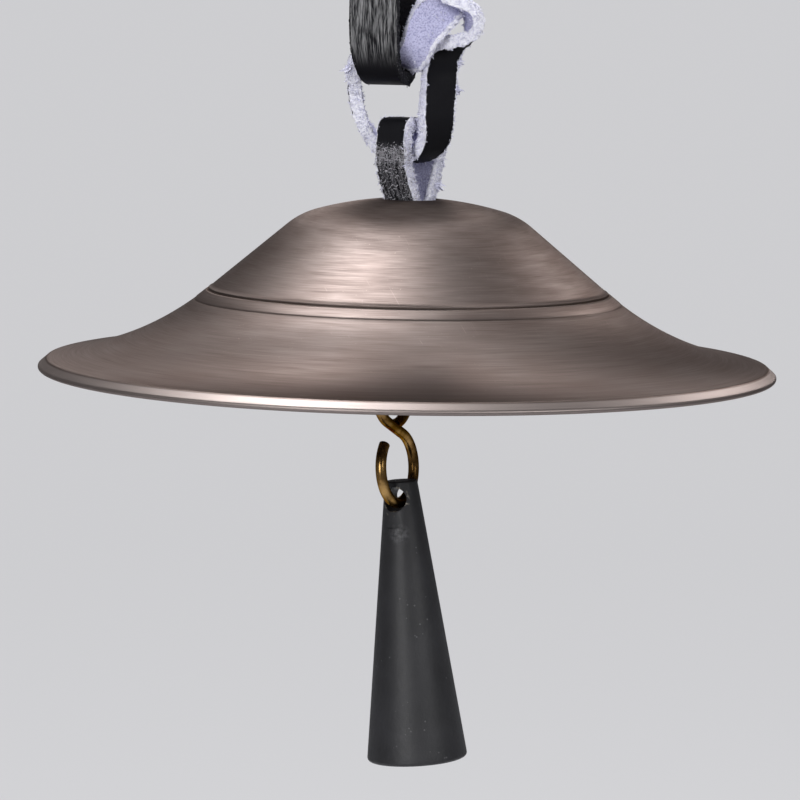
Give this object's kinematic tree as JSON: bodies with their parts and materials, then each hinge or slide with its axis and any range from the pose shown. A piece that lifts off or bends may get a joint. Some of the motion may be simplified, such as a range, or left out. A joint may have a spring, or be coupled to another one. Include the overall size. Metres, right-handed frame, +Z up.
{
  "type": "hanging cymbal bell",
  "caption": "Hat-shaped bronze cymbal bell hung on black leather lace links, with a black clapper cone on a brass wire hook under it.",
  "frame": {"origin": "on the axis of the hanging strap's top eye, straight above the cymbal's axis", "axes": "+Z up along the cymbal's axis, -Y towards the viewer, +X to the viewer's right"},
  "size_m": [0.075, 0.075, 0.086],
  "materials": {
    "lace": "dyed grain, pale raw edges",
    "bronze": "turned, circular brushed",
    "brass": "drawn wire, aged",
    "clapper": "matt black stain"
  },
  "bodies": {
    "hanger": {"hanging_strap": "lace"},
    "ring": {"ring_link": "lace"},
    "loop": {"bell_loop": "lace", "stop_knot": "lace"},
    "cymbal": {"cymbal": "bronze"},
    "hook": {"s_hook": "brass"},
    "clapper": {"cone": "clapper"}
  },
  "joints": [
    {"name": "ring_swing", "type": "hinge", "parent": "hanger", "child": "ring", "pos_m": [0, 0, -0.0086], "axis": [0.9659, -0.2588, 0], "range_deg": [-25, 25]},
    {"name": "loop_swing", "type": "hinge", "parent": "ring", "child": "loop", "pos_m": [0, 0, -0.0166], "axis": [0.5299, 0.848, 0], "range_deg": [-20, 20]},
    {"name": "cymbal_spin", "type": "hinge", "parent": "loop", "child": "cymbal", "pos_m": [0, 0, -0.02402], "axis": [0, 0, 1], "continuous": true},
    {"name": "hook_swing", "type": "hinge", "parent": "loop", "child": "hook", "pos_m": [-0.00168, -0.00269, -0.03967], "axis": [0.454, 0.891, 0], "range_deg": [-30, 30]},
    {"name": "cone_swing", "type": "hinge", "parent": "hook", "child": "clapper", "pos_m": [-0.00028, -0.00273, -0.05442], "axis": [0.454, 0.891, 0], "range_deg": [-40, 40]}
  ]
}
